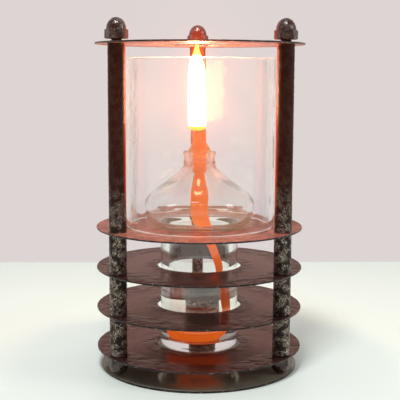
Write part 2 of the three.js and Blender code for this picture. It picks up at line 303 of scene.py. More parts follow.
class Paint:  # one finish and its nodes, on a new material or on the room's world
    def __init__(self, name, owner=None):
        self.material = owner or bpy.data.materials.new(name)
        self.material.use_nodes = True
        self.tree = self.material.node_tree
        self.tree.nodes.clear()

    def add(self, kind, settings=None, inputs=None, output=0):
        node = self.tree.nodes.new("ShaderNode" + kind)
        for key, value in (settings or {}).items():
            if key == "stops":
                ramp = node.color_ramp
                while len(ramp.elements) < len(value):
                    ramp.elements.new(1)
                for element, (place, tone) in zip(ramp.elements, value):
                    element.position = place
                    element.color = (*tone, 1)
            else:
                setattr(node, key, value)
        for key, value in (inputs or {}).items():
            socket = node.inputs[key]
            if isinstance(value, Signal):
                self.tree.links.new(value.socket, socket)
            else:
                socket.default_value = (*value, 1) if socket.type == "RGBA" else value
        return Signal(self, node.outputs[output]) if len(node.outputs) else None

    def place(self):  # Object coordinates in millimetres
        source = self.add("TexCoord", output="Object")
        return self.add("VectorMath", {"operation": "SCALE"}, {0: source, "Scale": 1 / millimetre})

    def parts(self, vector):  # its three numbers
        first = self.add("SeparateXYZ", None, {0: vector})
        return [Signal(self, output) for output in first.socket.node.outputs]

    def reach(self, place):  # the distance from the upright axis
        flat = self.add("VectorMath", {"operation": "MULTIPLY"}, {0: place, 1: (1, 1, 0)})
        return self.add("VectorMath", {"operation": "LENGTH"}, {0: flat}, output="Value")

    def math(self, operation, value):  # a Math node of one number
        return self.add("Math", {"operation": operation}, {0: value})

    def noise(self, vector, scale, detail=3.0, roughness=0.5, distortion=0.0):
        inputs = {"Vector": vector, "Scale": scale, "Detail": detail, "Roughness": roughness}
        return self.add("TexNoise", None, {**inputs, "Distortion": distortion})

    def ramp(self, value, stops):
        return self.add("ValToRGB", {"stops": stops}, {0: value})

    def bump(self, height, depth):  # height from 0 to 1, depth in millimetres
        return self.add("Bump", None, {"Height": height, "Distance": depth * millimetre})

    def eased(self, value, low, high):  # 3t^2 - 2t^3 from 0 at low to 1 at high
        settings = {"interpolation_type": "SMOOTHSTEP"}
        return self.add("MapRange", settings, {0: value, 1: low, 2: high, 3: 0.0, 4: 1.0})

    def mixed(self, factor, first, second):  # first colour to second colour
        return self.add("Mix", {"data_type": "RGBA"}, {0: factor, 6: first, 7: second}, output=2)

    def blended(self, factor, first, second):  # first shader to second shader
        return self.add("MixShader", None, {0: factor, 1: first, 2: second})

    def principled(self, inputs):
        return self.add("BsdfPrincipled", None, inputs)

    def painted(self, inputs):
        return self.show(self.principled(inputs))

    def show(self, shader):
        self.add("OutputMaterial", None, {"Surface": shader})
        return self.material


black = (0, 0, 0)

sheetValues = {
    "dark": (0.055, 0.026, 0.021), "light": (0.15, 0.070, 0.058), "edgeTint": (1.0, 0.78, 0.73),
    "metal": 0.76, "roughness": (0.12, 0.26), "cloudSize": 9, "grainSize": 0.5, "grainDepth": 0.03,
    "dentSize": 2.8, "dentDepth": 1.5, "plainShare": 0.05, "patchScale": 0.12, "patchBand": (0.35, 0.6),
    "rimBand": (53, 67), "holeBand": (44, 34), "holeShare": 0.7,
}


def sheetFinish(name, values):
    # dark lacquered sheet, uneven in a band at its rim and another round its hole
    paint = Paint(name)
    place = paint.place()
    clouds = paint.noise(place, 1 / values["cloudSize"], 4.0, 0.6, 0.4)
    grain = paint.noise(place, 1 / values["grainSize"], 2.0)
    tone = paint.ramp(clouds * 0.75 + grain * 0.25, [(0.3, values["dark"]), (0.7, values["light"])])
    least, most = values["roughness"]
    reach = paint.reach(place)
    bands = paint.eased(reach, *values["rimBand"])
    bands = bands + paint.eased(reach, *values["holeBand"]) * values["holeShare"]
    patches = paint.eased(paint.noise(place, values["patchScale"], 2.0), *values["patchBand"])
    dents = paint.noise(place, 1 / values["dentSize"], 3.0, 0.6, 1.2)
    uneven = values["plainShare"] + bands * patches * (1 - values["plainShare"])
    inputs = {
        "Base Color": tone,
        "Metallic": values["metal"],
        "Specular IOR Level": 0.0,
        "Roughness": least + (most - least) * (clouds * 0.6 + grain * 0.4),
        "Specular Tint": values["edgeTint"],
        "Normal": paint.bump(dents * uneven + grain * values["grainDepth"], values["dentDepth"]),
    }
    return paint.painted(inputs)


# painted light: disc 4 and the top plate take a lighter, redder copy of the sheet finish for the flame's
# light on them
litSheetValues = {**sheetValues, "dark": (0.20, 0.080, 0.062), "light": (0.42, 0.175, 0.140), "metal": 0.55}
baseSheetValues = {
    **sheetValues,
    "dark": (0.32, 0.300, 0.235), "light": (0.48, 0.450, 0.350), "edgeTint": (0.95, 0.93, 0.86),
    "metal": 0.35, "roughness": (0.06, 0.15), "cloudSize": 22, "dentDepth": 0.03,
}
discFinish = sheetFinish("bronzeSheet", sheetValues)
litDiscFinish = sheetFinish("flameLitBronzeSheet", litSheetValues)
baseFinish = sheetFinish("oliveBaseSheet", baseSheetValues)

rimValues = {
    "dark": (0.006, 0.004, 0.0035), "light": (0.42, 0.33, 0.29), "glintBand": (0.60, 0.68), "roughness": 0.3,
    "specular": 0.3, "grainDepth": 0.35,
}


def cutRimFinish(values):
    # the cut edge of a plate, painted near black, with painted glints: broken specks of light metal that
    # reflect the room
    paint = Paint("blackCutRim")
    place = paint.place()
    # painted glints in sparse specks
    glints = paint.eased(paint.noise(place, 0.7, 3.0, 0.6), *values["glintBand"])
    inputs = {
        "Base Color": paint.mixed(glints, values["dark"], values["light"]),
        "Metallic": glints,
        "Roughness": values["roughness"],
        "Specular IOR Level": values["specular"],
        "Normal": paint.bump(paint.noise(place, 1.4, 2.0), values["grainDepth"]),
    }
    return paint.painted(inputs)


cutRim = cutRimFinish(rimValues)

hammeredValues = {
    "paint": (0.028, 0.0040, 0.0010), "lowPaint": (0.028, 0.018, 0.0140), "lowBand": (150, 95),
    "glintFleck": (0.86, 0.72, 0.60), "fleckSize": 1.0, "fleckBand": (0.034, 0.010), "patchScale": 0.2,
    "patchBand": (0.40, 0.56), "highShare": 0.05, "roughness": (0.26, 0.42), "specular": 0.12,
    # flameLight, flameReach and flameHeights: painted light, an emission on the flame's side above disc 4
    "grainDepth": 0.10, "flameLight": (1.15, 0.10, 0.022), "flameReach": (67.6, 61.4),
    "flameHeights": (108, 150),
}


def hammeredFinish(name, values):
    # near-black paint over a hammered tube, with painted glints as fine curling lines of light metal that
    # reflect the room, mostly low on the posts, and painted red flame light on its inner side
    paint = Paint(name)
    place = paint.place()
    wear = paint.add("Attribute", {"attribute_name": "wear"}, output="Fac")
    height = paint.parts(place)[2]
    low = paint.eased(height, *values["lowBand"])
    fine = paint.noise(place, 2.2, 2.0)
    tone = paint.mixed(low, values["paint"], values["lowPaint"])
    # darker toward black where the surface is pushed in further
    tone = paint.mixed(wear * 0.5 * fine, tone, black)
    offset = paint.math("ABSOLUTE", paint.noise(place, 1 / values["fleckSize"], 2.0, 0.5, 0.8) - 0.5)
    share = values["highShare"] + (1 - values["highShare"]) * low
    patches = paint.eased(paint.noise(place, values["patchScale"], 2.0), *values["patchBand"])
    # painted glints: light metallic lines in patches, more of them on the nuts
    glintFleck = paint.eased(offset, *values["fleckBand"]) * patches * share
    facing = paint.eased(paint.reach(place), *values["flameReach"])  # the side facing the flame, where an emission paints the flame's red light
    above = paint.eased(height, *values["flameHeights"])
    least, most = values["roughness"]
    inputs = {
        "Base Color": paint.mixed(glintFleck, tone, values["glintFleck"]),
        "Metallic": glintFleck,
        "Roughness": least + (most - least) * fine,
        "Specular IOR Level": values["specular"],
        # painted light: the flame's red light on the side facing it, as an emission
        "Emission Color": paint.mixed(facing * facing * above * (0.35 + fine), black, values["flameLight"]),
        "Emission Strength": 1.0,
        "Normal": paint.bump(fine + paint.noise(place, 0.9, 2.0), values["grainDepth"]),
    }
    return paint.painted(inputs)


# the nuts: more painted glints and less of the painted flame light
nutPaintValues = {
    **hammeredValues,
    "highShare": 0.3, "lowBand": (-10, -20), "roughness": (0.12, 0.26), "specular": 0.6,
    "flameLight": (0.36, 0.024, 0.006),
}
postFinish = hammeredFinish("hammeredPost", hammeredValues)
nutFinish = hammeredFinish("hammeredNut", nutPaintValues)

steelValues = {
    "dark": (0.05, 0.045, 0.04), "light": (0.22, 0.19, 0.16), "roughness": 0.38, "grainDepth": 0.02,
}


def threadFinish(values):
    paint = Paint("threadedSteel")
    wear = paint.noise(paint.place(), 0.8, 4.0, 0.6)
    inputs = {
        "Base Color": paint.ramp(wear, [(0.35, values["dark"]), (0.7, values["light"])]),
        "Metallic": 1.0,
        "Roughness": values["roughness"],
        "Normal": paint.bump(wear, values["grainDepth"]),
    }
    return paint.painted(inputs)


studFinish = threadFinish(steelValues)

chimneyGlass = {
    "tint": (1.0, 0.995, 0.99), "ior": 1.47, "dust": 0.010, "dustTone": (1.0, 0.85, 0.8), "specular": 0.11,
    "specularTint": (1.0, 0.80, 0.36), "ripple": 0.25, "rippleSize": 16, "farLean": -0.106, "farUneven": 0.12,
    "farDepths": (5, 25), "boreReach": (54, 53),
}
bottleGlass = {
    "tint": (0.985, 0.995, 0.99), "ior": 1.5, "dust": 0.014, "dustTone": (1, 0.94, 0.92), "specular": 0.4,
    "film": [
        # painted shade: a dark film on the far side of the tube, below disc 4, where its shadow falls
        {"from": (75, 78), "to": (92, 86), "depths": (-2, 8), "share": 0.75, "tone": (0.20, 0.10, 0.07)},
        # painted light: an orange film round the neck for the orange glow in it
        {"from": (138, 148), "to": (176, 172), "share": 0.14, "tone": (1.0, 0.42, 0.16)},
    ],
}
# painted light: the holder's amber tint, orange dust and orange film stand in for the glow of the wick and
# flame in it
holderGlass = {
    "tint": (0.99, 0.88, 0.74), "ior": 1.48, "dust": 0.03, "dustTone": (1.0, 0.6, 0.3), "specular": 0.5,
    "film": [{"from": (150, 158), "to": (190, 180), "share": 0.36, "tone": (1.0, 0.52, 0.16)}],
}
clearOil = {"tint": (0.995, 1.0, 0.985), "ior": 1.45, "dust": 0.0, "dustTone": (1, 1, 1), "specular": 0.0}


def glassFinish(name, values):
    # clear glass that lets lamps and soft light straight through, with a trace of dust on it, and film
    # patches of painted shade and painted glow
    paint = Paint(name)
    place = paint.place()
    smear = paint.noise(place, 0.05, 4.0, 0.6, 0.8)
    across, depth, height = paint.parts(place)
    inputs = {
        "Base Color": values["tint"],
        "Roughness": 0.0,
        "IOR": values["ior"],
        "Transmission Weight": 1.0,
        "Specular IOR Level": values["specular"],
        "Specular Tint": values.get("specularTint", (1, 1, 1)),
    }
    if "ripple" in values:  # the far side's bore also leans, which moves the flame's mirror image aside
        wave = paint.noise(place, 1 / values["rippleSize"], 1.0) * values["ripple"]
        lean = across * values["farLean"] + paint.noise(place, 0.35, 2.0) * values["farUneven"]
        bore = paint.eased(paint.reach(place), *values["boreReach"])
        inputs["Normal"] = paint.bump(wave + lean * paint.eased(depth, *values["farDepths"]) * bore, 1)
    share = smear * (2 * values["dust"])
    tone = values["dustTone"]
    for paintedLightPatch in values.get("film", ()):  # more film between two heights, on the far side alone or all round; these patches are painted shade and painted glow
        side = paint.eased(depth, *paintedLightPatch["depths"]) if "depths" in paintedLightPatch else 1.0
        band = paint.eased(height, *paintedLightPatch["from"]) * paint.eased(height, *paintedLightPatch["to"]) * side
        share = share + band * paintedLightPatch["share"] * (0.6 + smear * 0.8)
        tone = paint.mixed(band, tone, paintedLightPatch["tone"])
    dust = paint.add("BsdfTranslucent", None, {"Color": tone})
    dusty = paint.blended(share, paint.principled(inputs), dust)
    shadow = paint.add("LightPath", output="Is Shadow Ray")
    soft = Signal(paint, shadow.socket.node.outputs["Is Diffuse Ray"])
    clear = paint.add("BsdfTransparent", None, {"Color": (0.97, 0.97, 0.97)})
    return paint.show(paint.blended(shadow.joined("MAXIMUM", shadow, soft), dusty, clear))


chimneyFinish = glassFinish("chimneyGlass", chimneyGlass)
bottleFinish = glassFinish("bottleGlass", bottleGlass)
holderFinish = glassFinish("holderGlass", holderGlass)
oilFinish = glassFinish("lampOil", clearOil)

groundValues = {
    "tint": (1, 0.98, 0.96), "ior": 1.47, "roughness": (0.2, 0.3), "film": (0.05, 0.25),
    "filmTone": (1, 0.92, 0.88),
}


def groundGlassFinish(values):  # the ground rims of the chimney, which catch the flame's light
    paint = Paint("groundGlassRim")
    grit = paint.noise(paint.place(), 2.0, 3.0)
    least, more = values["roughness"]
    inputs = {"Base Color": values["tint"], "Roughness": least + more * grit, "IOR": values["ior"]}
    glass = paint.principled({**inputs, "Transmission Weight": 1.0})
    film = paint.add("BsdfTranslucent", None, {"Color": values["filmTone"]})
    least, more = values["film"]
    return paint.show(paint.blended(least + more * grit, glass, film))


rimFinish = groundGlassFinish(groundValues)

wickValues = {
    "gap": (0.52, 0.046, 0.002), "strand": (0.95, 0.160, 0.008), "burnt": (0.02, 0.008, 0.004),
    "burntBelowTop": (4.5, 1), "dimBelow": (92, 60), "dimAbove": (36, 46), "dimShare": 0.72,
    "paintedGlowInTube": 0.8, "paintedGlowInOil": 0.75, "ribPitch": 1.6, "strandCount": 22, "strandPower": 0.6,
    "roughness": 0.75, "specular": 0.15, "weaveDepth": 0.2,
}


def wickFinish(name, values, glow, charred=None):
    # orange braid with painted glow, dimmer in a band of heights: ribs |sin(along / pitch + half a turn a
    # strand)| times |sin(strand)|
    paint = Paint(name)
    along, around, _ = paint.parts(paint.add("UVMap", {"uv_map": "along"}))
    strand = paint.math("FLOOR", around * values["strandCount"])
    rib = paint.math("ABSOLUTE", paint.math("SINE", (along / values["ribPitch"] + strand * 0.5) * np.pi))
    edge = paint.math("ABSOLUTE", paint.math("SINE", around * (values["strandCount"] * np.pi)))
    weave = rib * edge ** values["strandPower"]
    place = paint.place()
    fibre = paint.noise(place, 3.0, 3.0)
    tone = paint.ramp(weave * 0.8 + fibre * 0.3, [(0.15, values["gap"]), (0.7, values["strand"])])
    height = paint.parts(place)[2]
    if charred is not None:
        tone = paint.mixed(paint.eased(height, *charred), tone, values["burnt"])
    dim = paint.eased(height, *values["dimBelow"]) * paint.eased(height, *values["dimAbove"])
    dim = dim * values["dimShare"]
    inputs = {
        "Base Color": tone,
        "Roughness": values["roughness"],
        "Specular IOR Level": values["specular"],
        # painted light: the wick's glow in its own tone, dimmer in a middle band of heights
        "Emission Color": paint.mixed(dim, tone, black),
        "Emission Strength": glow,
        "Normal": paint.bump(weave + fibre * 0.3, values["weaveDepth"]),
    }
    return paint.painted(inputs)


print("finishes made")


plateValues = {
    "holeRadius": 31, "edgeRound": 0.5, "sides": 360, "baseSides": 256, "rimBand": 11, "rimEdge": 0.3,
    "rimUneven": 0.15, "dentSize": 1.5, "notchSize": 2.4, "notchDepth": 0.18, "studHole": 4.3,
    "studHoleSides": 40, "cutBeyond": 2,
}
discTop = nodeBox("disc_4")[1][2]
posts = {side: sum(nodeBox(f"stud_{side}")) / 2 for side in ("left", "right", "back")}


def atPost(side, height=0):  # the way from the lamp's middle to a post
    return np.array([*posts[side][:2], height])


def studCutter(low, high):
    # three upright cylinders, one round each stud, as one closed mesh to cut the plate with
    points, faces = [], []
    sides = plateValues["studHoleSides"]
    column = np.arange(sides)
    following = (column + 1) % sides
    for side in posts:
        start = len(points) * sides
        for height in (low, high):
            points.append(turned(plateValues["studHole"], height, turnAngles(sides)) + atPost(side))
        faces += (start + np.stack([column, following, following + sides, column + sides], axis=1)).tolist()
        faces += [(start + column[::-1]).tolist(), (start + sides + column).tolist()]
    return newObject("cutter", newMesh("cutter", np.concatenate(points), faces))


def holedPlate(node, body, seed, finish):
    values = plateValues
    low, high = nodeBox(node)
    outer, inner, soft = high[0], values["holeRadius"], values["edgeRound"]
    band = outer - values["rimBand"]
    reaches = (inner, band, outer, outer, band, inner)
    heights = [low[2]] * 3 + [high[2]] * 3
    rounding, steps = (soft, 0, soft, soft, 0, soft), (3.0, 0.7, 0.5, 0.7, 3.0, 0.5)
    outline = softOutline(np.c_[reaches, heights, rounding, steps], closed=True)
    rings = revolved(outline, values["sides"])
    reach = np.linalg.norm(rings[..., :2], axis=2)
    worn = easeStep(reach, band, outer - 1)
    size = values["dentSize"]
    dents = softNoise(rings, size, seed) + 0.5 * softNoise(rings, size / 2, seed + 3)
    rings = rings - outwardOf(rings, True) * (values["rimUneven"] * worn * (dents + 1.5))[..., None] * 0.5
    rim = easeStep(reach, outer - 2 * values["rimEdge"], outer)
    notch = softNoise(rings * np.array([1, 1, 0]), values["notchSize"], seed + 5) * rim * values["notchDepth"]
    rings[..., :2] *= (1 - (np.maximum(notch, 0) / outer))[..., None]
    rimFaces = rimRuns(outline[:, 0] > outer - values["rimEdge"])
    plain = makePiece(f"plain_{node}", rings, True, [finish, cutRim], None, rowFinish=rimFaces)
    cutter = studCutter(low[2] - values["cutBeyond"], high[2] + values["cutBeyond"])
    cut = plain.modifiers.new("studHoles", "BOOLEAN")
    cut.object, cut.operation, cut.solver = cutter, "DIFFERENCE", "EXACT"
    bpy.context.view_layer.update()
    mesh = bpy.data.meshes.new_from_object(plain.evaluated_get(bpy.context.evaluated_depsgraph_get()))
    bpy.data.batch_remove([plain.data, cutter.data, plain, cutter])
    finishPiece(f"bronze_{node}", mesh, [], body, [node])


for number in range(1, 4):
    holedPlate(f"disc_{number}", "frame", number * 10, discFinish)
# disc 4 and the top plate take the copy with the flame's light painted in
holedPlate("disc_4", "frame", 40, litDiscFinish)
holedPlate("top_plate", "top_plate", 70, litDiscFinish)

low, high = nodeBox("base_plate")
soft = plateValues["edgeRound"]
baseOutline = softOutline(
    [(0, low[2], 0, 20), (high[0], low[2], soft, 0.5), (high[0], high[2], soft, 20), (0, high[2], 0, 1)],
)
rimFaces = rimRuns(baseOutline[:, 0] > high[0] - plateValues["rimEdge"])
baseRings = revolved(baseOutline, plateValues["baseSides"])
finishes = [baseFinish, cutRim]
makePiece("olive_base_plate", baseRings, False, finishes, "frame", ["base_plate"], rimFaces)
print("plates made")


sleeveValues = {
    "bore": 4.5, "edgeRound": 0.35, "endKept": 1.2, "sides": 72, "step": 0.55, "cellSize": 1.9, "depth": 0.2,
}


def hammeredRings(rings, loop, depth, size, seed, keep):
    # a surface pushed in where cells meet, depth (1 - ease(border distance)), with a slow swell over it
    stretched = rings * np.array([1, 1, 0.7])
    border = 1 - easeStep(cellEdges(stretched, size, seed), 0.0, 0.42)
    swell = softNoise(rings, size * 2.2, seed + 2) * 0.5 + 0.5
    wear = keep * (0.75 * border + 0.6 * swell)
    return rings - outwardOf(rings, loop) * (depth * wear)[..., None], wear


def hammeredSleeve(node, side, seed):
    values = sleeveValues
    low, high = nodeBox(node)
    outer, bore, soft = (high[0] - low[0]) / 2, values["bore"], values["edgeRound"]
    steps = (2, values["step"], 2, high[2] - low[2])
    rings = revolved(tubeOutline(bore, outer, low[2], high[2], (0, soft, soft, 0), steps), values["sides"])
    outside = easeStep(np.hypot(rings[..., 0], rings[..., 1]), bore + 1, outer - 0.1)
    inset = np.minimum(rings[..., 2] - low[2], high[2] - rings[..., 2])
    keep = outside * easeStep(inset, 0.0, values["endKept"])
    rings, wear = hammeredRings(rings, True, values["depth"], values["cellSize"], seed, keep)
    rings = rings + atPost(side)
    makePiece(f"hammered_{node}", rings, True, [postFinish], "frame", [node], wear=wear)


studValues = {
    "pitch": 1.25, "depth": 0.62, "threadLength": 18, "runOut": 2, "chamfer": 0.8, "sides": 36, "perTurn": 8,
}


def threadedStud(side):
    # radius less depth |2 frac(height / pitch - angle / turn) - 1|, only on the threaded ends
    low, high = nodeBox(f"stud_{side}")
    values = studValues
    radius = (high[0] - low[0]) / 2
    threadLength = values["threadLength"]
    ends = np.arange(0, threadLength, values["pitch"] / values["perTurn"])
    heights = np.concatenate([[low[2]] * 2, low[2] + ends, high[2] - ends[::-1], [high[2]] * 2])
    radii = np.full(len(heights), radius)
    radii[[0, -1]] = 0
    rings = revolved(np.c_[radii, heights], values["sides"])
    phase = heights[:, None] / values["pitch"] - turnAngles(values["sides"]) / (2 * np.pi)
    groove = np.abs(2 * (phase - np.floor(phase)) - 1)
    inset = np.minimum(heights - low[2], high[2] - heights)
    threaded = 1 - easeStep(inset, threadLength - values["runOut"], threadLength - 0.5)
    end = 1 - easeStep(inset, 0.0, values["chamfer"])
    cut = values["depth"] * groove * threaded[:, None] + values["chamfer"] * end[:, None]
    rings[1:-1, :, :2] *= (1 - cut[1:-1] / radius)[..., None]
    rings = rings + atPost(side)
    makePiece(f"threaded_stud_{side}", rings, False, [studFinish], "frame", [f"stud_{side}"])


nutValues = {
    "acrossFlats": 15, "bore": 4.3, "crownWall": 4, "domeInset": 0.4, "chamfer": 0.7, "capHexShare": 0.446,
    "footHexShare": 0.453, "cornerSharpness": 26, "sides": 120, "depth": 0.16, "cellSize": 2.0,
}


def acornNut(node, body, side, up, seed):
    # blind bore, flat face, a hexagon by a p-norm of its three widths, and a dome of quarter ellipses
    low, high = nodeBox(node)
    values = nutValues
    total = high[2] - low[2]
    hexHeight = total * values["capHexShare" if up else "footHexShare"]
    flat, bore = values["acrossFlats"] / 2, values["bore"]
    chamfer, sharpness = values["chamfer"], values["cornerSharpness"]
    corner = flat / np.cos(np.pi / 6)
    dome = flat - values["domeInset"]
    angle = turnAngles(values["sides"])
    same = np.ones_like(angle)
    widths = np.abs(np.cos(angle[:, None] - np.radians([30, 90, 150])))
    hexagon = flat / np.sum(widths**sharpness, axis=1) ** (1 / sharpness)
    boreTop = total - values["crownWall"]

    def row(height, share=1.0):
        inside = np.clip(np.minimum(height, hexHeight - height) / chamfer, 0, 1)
        reach = np.minimum(hexagon, flat + (corner - flat) * inside)
        return bore + (reach - bore) * share, height

    rows = [(same * 0, boreTop)]
    rows += [(same * bore, height) for height in np.linspace(boreTop, 0, 8)]
    rows += [row(0, share) for share in (0.35, 0.7, 1.0)]
    innerRows = len(rows)
    stops = ((0, chamfer, 4), (chamfer, hexHeight - chamfer, 9), (hexHeight - chamfer, hexHeight, 4))
    rows += [row(height) for stop in stops for height in np.linspace(*stop)[1:]]
    turn = np.linspace(0, np.pi / 2, 22)
    rows += [(same * dome * np.cos(t), hexHeight + (total - hexHeight) * np.sin(t)) for t in turn]
    reach = np.stack([r for r, _ in rows])
    heights = np.array([h for _, h in rows])[:, None] + 0 * angle
    outside = np.zeros(len(rows))
    outside[innerRows:-1] = 1
    keep = outside[:, None] * easeStep(heights, 0.2, 1.4)
    rings = turned(reach, heights, angle)
    rings, wear = hammeredRings(rings, False, values["depth"], values["cellSize"], seed, keep)
    if not up:
        rings = rings * np.array([1, -1, -1]) + np.array([0, 0, total])
    rings = rings + atPost(side, low[2])
    makePiece(f"acorn_{node}", rings, False, [nutFinish], body, [node], wear=wear)


for index, side in enumerate(posts):
    for level in (1, 2, 3):
        hammeredSleeve(f"spacer_{side}_{level}", side, 100 + index * 10 + level)
    hammeredSleeve(f"long_spacer_{side}", side, 140 + index)
    threadedStud(side)
    acornNut(f"cap_nut_{side}", f"cap_nut_{side}", side, True, 160 + index)
    acornNut(f"foot_nut_{side}", "frame", side, False, 170 + index)
print("posts and nuts made")


chimneyValues = {"wall": 3, "edgeRound": 0.9, "groundShare": 0.7, "sides": 200}
low, high = nodeBox("glass_chimney")
edge = chimneyValues["edgeRound"]
outline = tubeOutline(high[0] - chimneyValues["wall"], high[0], low[2], high[2], (edge,) * 4, (1, 4, 1, 4))
fromEnd = np.minimum(outline[:, 1] - low[2], high[2] - outline[:, 1])
rimFaces = rimRuns(fromEnd < edge * chimneyValues["groundShare"])
rings = revolved(outline, chimneyValues["sides"])
finishes = [chimneyFinish, rimFinish]
makePiece("chimney_tube", rings, True, finishes, "chimney", ["glass_chimney"], rimFaces)

bottleValues = {
    "tubeRadius": 28.7, "wall": 6, "bulbWall": 3, "floor": 5.6, "footRound": 3, "seatDrop": 3,
    "seatRadius": 30.7, "seatSpread": 6.5, "seatRise": 1.2, "seatTurnShare": 0.5, "bulbRadius": 40.6,
    "widestHeight": 15.8, "underRound": 10, "overRound": 11.2, "neckRadius": 11.4, "neckBore": 7.4,
    "neckBase": 45.5, "shoulderFlare": 2.6, "shoulderDrop": 9.5, "ringHeight": 1.8, "ringProud": 0.7,
    "neckLength": 9.4, "lipHeight": 2.8, "sides": 144,
}


def bottleSkin(tubeInset, bulbInset, endRadius, endHeight):
    # tube to seat, seat to widest, widest to neck, each a cubic curve; the inner skin is inset by the walls
    v = bottleValues
    spread = np.array([v["seatSpread"], v["seatRise"]])
    slope = unit(spread)
    seat = np.array([v["seatRadius"], 0]) + bulbInset * np.array([-slope[1], slope[0]])
    tube = np.array([v["tubeRadius"] - tubeInset, -v["seatDrop"]])
    widest = np.array([v["bulbRadius"] - bulbInset, v["widestHeight"]])
    neck = np.array([endRadius, endHeight])
    seatTurn = (seat - tube) * v["seatTurnShare"]
    spread = spread * (widest[0] - seat[0]) / (v["bulbRadius"] - v["seatRadius"])
    shoulder = neck + (v["shoulderFlare"], -v["shoulderDrop"])
    under = v["underRound"] * (v["widestHeight"] - seat[1]) / v["widestHeight"]
    return np.concatenate(
        [
            tube[None],
            cubicCurve(tube, tube + (0, seatTurn[1]), seat - slope * seatTurn[0], seat, 12),
            cubicCurve(seat, seat + spread, widest - (0, under), widest, 24),
            cubicCurve(widest, widest + (0, v["overRound"]), shoulder, neck, 36),
        ]
    )


v = bottleValues
bottom = nodeBox("oil_bottle")[0][2] - discTop
lipTop = v["neckBase"] + v["neckLength"]
floorTop = bottom + v["floor"]
tube = v["tubeRadius"]
bore = tube - v["wall"]
lip = v["neckRadius"] + v["ringProud"]
foot = softOutline(
    [(0, bottom, 0, 8), (tube, bottom, v["footRound"], 6), (tube, -v["seatDrop"], 0, 1)],
    steps=8,
)
outerSkin = bottleSkin(0, 0, v["neckRadius"], v["neckBase"])
neck = softOutline(
    [
        (v["neckRadius"], v["neckBase"], 0, 1),
        (lip + 0.2, v["neckBase"] + v["ringHeight"] / 2, 0.5, 1),
        (v["neckRadius"], v["neckBase"] + v["ringHeight"], 0.35, 2),
        (v["neckRadius"], lipTop - v["lipHeight"] - 0.5, 0.35, 1),
        (lip + 0.05, lipTop - v["lipHeight"] + 0.2, 0.5, 1),
        (lip + 0.05, lipTop, 0.8, 1),
        (v["neckBore"], lipTop, 0.8, 1),
        (v["neckBore"], v["neckBase"] - v["bulbWall"], 0, 1),
    ],
)
innerSkin = bottleSkin(v["wall"], v["bulbWall"], v["neckBore"], v["neckBase"] - v["bulbWall"])
floor = softOutline(
    [(bore, innerSkin[0][1], 0, 6), (bore, floorTop, v["footRound"], 8), (0, floorTop, 0, 1)],
    steps=8,
)
bottleOutline = np.concatenate([foot[:-1], outerSkin, neck[1:-1], innerSkin[::-1], floor[1:]])
rings = revolved(bottleOutline, v["sides"], (0, 0, discTop))
makePiece("bottle_bulb_and_tube", rings, False, [bottleFinish], "bottle", ["oil_bottle"])

holderValues = {
    "tube": 4.9, "wall": 1.1, "rise": 14.7, "tail": 17, "collarOverlap": 0.7, "collarEdge": 1.3, "cone": 5.9,
    "beadProud": 0.95, "beadHeight": 1.6, "beadSpacing": 3.2, "endRound": 0.45, "sides": 72,
}
h = holderValues
holderBore = h["tube"] - h["wall"]
holderTop = lipTop + h["rise"]
holderBottom = lipTop - h["tail"]
collar = v["neckBore"] + h["collarOverlap"]
coneBase = lipTop + h["collarEdge"]
coneTop = coneBase + h["cone"]
beads = []
for count in (2, 1):
    middle, half = lipTop - count * h["beadSpacing"], h["beadHeight"] / 2
    beads += [(h["tube"], middle - half, 0.2, 1), (h["tube"] + h["beadProud"], middle, 0.5, 1)]
    beads += [(h["tube"], middle + half, 0.2, 1)]
lower = softOutline(
    [
        (holderBore, holderBottom, 0.3, 1),
        (h["tube"], holderBottom, 0.3, 4),
        *beads,
        (h["tube"], lipTop, 0.1, 1),
        (collar, lipTop, 0.15, 1),
        (collar, coneBase, 0.3, 1),
        (h["tube"], coneTop, 0, 1),
    ],
    closed=True,
    steps=5,
)
lower = lower[: np.argmax(lower[:, 1])]
coneHandles = (collar - h["collarEdge"], coneBase + h["cone"] / 2), (h["tube"], coneBase + h["cone"] * 2 / 3)
cone = cubicCurve((collar, coneBase), *coneHandles, (h["tube"], coneTop), 12)
upper = softOutline(
    [
        (h["tube"], coneTop, 0, 4),
        (h["tube"], holderTop, h["endRound"], 1),
        (holderBore, holderTop, h["endRound"], 4),
        (holderBore, holderBottom + 0.3, 0, 1),
    ],
)
holderOutline = np.concatenate([lower[lower[:, 1] <= coneBase], cone, upper[1:-1]])
holderRings = revolved(holderOutline, h["sides"], (0, 0, discTop))
makePiece("wick_tube", holderRings, True, [holderFinish], "wick_holder", ["wick_holder"])
print("glass made")


wickShape = {
    "halfWidth": 6.5, "halfThickness": 1.5, "clearance": 0.35, "squeezedShare": 0.9, "proud": 1.6,
    "coilTurns": 1.4, "coilRadius": 15.5, "coilStep": 5, "coilOffset": 1.5, "coilStart": 50,
    "stepsPerTurn": 24, "runRows": 300, "coilRows": 160, "sides": 44, "weave": 0.16, "squareness": 0.8,
    "right": (0, 0.055, 0.40, 0.68, 0.58), "down": (0.05, 0.30, 0.48, 0.68, 0.84),
    "turn": (0, 0.12, 0.72, 0.70, 0.92),
}


